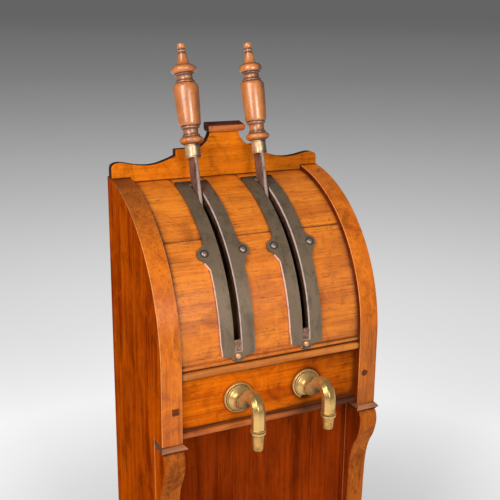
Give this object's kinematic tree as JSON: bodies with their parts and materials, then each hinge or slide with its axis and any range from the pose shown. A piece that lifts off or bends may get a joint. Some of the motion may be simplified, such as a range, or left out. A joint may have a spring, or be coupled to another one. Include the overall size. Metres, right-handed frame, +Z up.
{
  "type": "beer pump",
  "caption": "Antique counter beer engine: curved-front wooden cabinet, swinging pull levers in slotted plates, and swan-neck brass spouts driven by pumps inside.",
  "frame": {"origin": "on the floor, under the middle of the part's overall box", "axes": "+Z up, +X to the right of someone facing the spouts, -Y towards that person, with the levers pulled towards -Y"},
  "size_m": [0.418, 0.3326, 1.1485],
  "materials": {
    "side_wood": "waxed, orange-brown",
    "curved_wood": "waxed, honey brown",
    "panel_wood": "stained red-brown",
    "plain_wood": "plain, unpolished",
    "peg_wood": "dark end grain",
    "grip_wood": "turned and polished",
    "iron": "aged, rubbed bright on the edges",
    "lever_steel": "rust-browned, bright on the front edge",
    "steel": "satin",
    "worn_metal": "worn, pinkish brown",
    "brass": "aged, satin"
  },
  "bodies": {
    "cabinet": {"side_board_left": "side_wood", "side_board_right": "side_wood", "leg_cap_left": "side_wood", "leg_cap_right": "side_wood", "scroll_leg_left": "side_wood", "scroll_leg_right": "side_wood", "fascia_peg_left": "peg_wood", "fascia_peg_right": "peg_wood", "curved_board_lower": "curved_wood", "curved_board_upper": "curved_wood", "upper_bead": "curved_wood", "fascia_board": "curved_wood", "lower_bead": "curved_wood", "front_board_1": "panel_wood", "front_board_2": "panel_wood", "front_board_3": "panel_wood", "back_panel": "plain_wood", "bottom_board": "plain_wood", "pump_shelf": "plain_wood", "fulcrum_rail": "plain_wood", "fulcrum_shaft": "steel", "crest_board": "curved_wood", "crest_cap": "curved_wood", "quadrant_plate_left": "iron", "quadrant_plate_right": "iron", "slot_buffer_left": "worn_metal", "slot_buffer_right": "worn_metal", "plate_screw_left_left": "steel", "plate_screw_left_right": "steel", "plate_screw_left_foot": "brass", "plate_screw_right_left": "steel", "plate_screw_right_right": "steel", "plate_screw_right_foot": "brass", "fulcrum_bracket_left": "iron", "fulcrum_bracket_right": "iron", "pump_cylinder_left": "brass", "pump_cylinder_right": "brass", "pump_top_cap_left": "brass", "pump_top_cap_right": "brass", "pump_foot_cap_left": "brass", "pump_foot_cap_right": "brass", "delivery_pipe_left": "brass", "delivery_pipe_right": "brass", "rose_left": "brass", "rose_right": "brass", "spout_left": "brass", "spout_right": "brass", "nozzle_left": "brass", "nozzle_right": "brass"},
    "pull_lever_left": {"lever_left": "lever_steel", "ferrule_left": "brass", "grip_left": "grip_wood"},
    "pull_lever_right": {"lever_right": "lever_steel", "ferrule_right": "brass", "grip_right": "grip_wood"},
    "piston_rod_left": {"crosshead_left": "steel", "piston_left": "brass"},
    "piston_rod_right": {"crosshead_right": "steel", "piston_right": "brass"}
  },
  "joints": [
    {"name": "lever_left_pull", "type": "hinge", "parent": "cabinet", "child": "pull_lever_left", "pos_m": [-0.06795, 0.01382, 0.64], "axis": [1, 0, 0], "range_deg": [0, 73]},
    {"name": "lever_right_pull", "type": "hinge", "parent": "cabinet", "child": "pull_lever_right", "pos_m": [0.06055, 0.01382, 0.64], "axis": [1, 0, 0], "range_deg": [0, 73]},
    {"name": "piston_left_lift", "type": "slide", "parent": "cabinet", "child": "piston_rod_left", "axis": [0, 0, 1], "range_m": [0, 0.0714]},
    {"name": "piston_right_lift", "type": "slide", "parent": "cabinet", "child": "piston_rod_right", "axis": [0, 0, 1], "range_m": [0, 0.0714]}
  ],
  "couplings": [
    {"joint": "piston_left_lift", "follows": "lever_left_pull", "m_per_rad": 0.056022},
    {"joint": "piston_right_lift", "follows": "lever_right_pull", "m_per_rad": 0.056022}
  ]
}
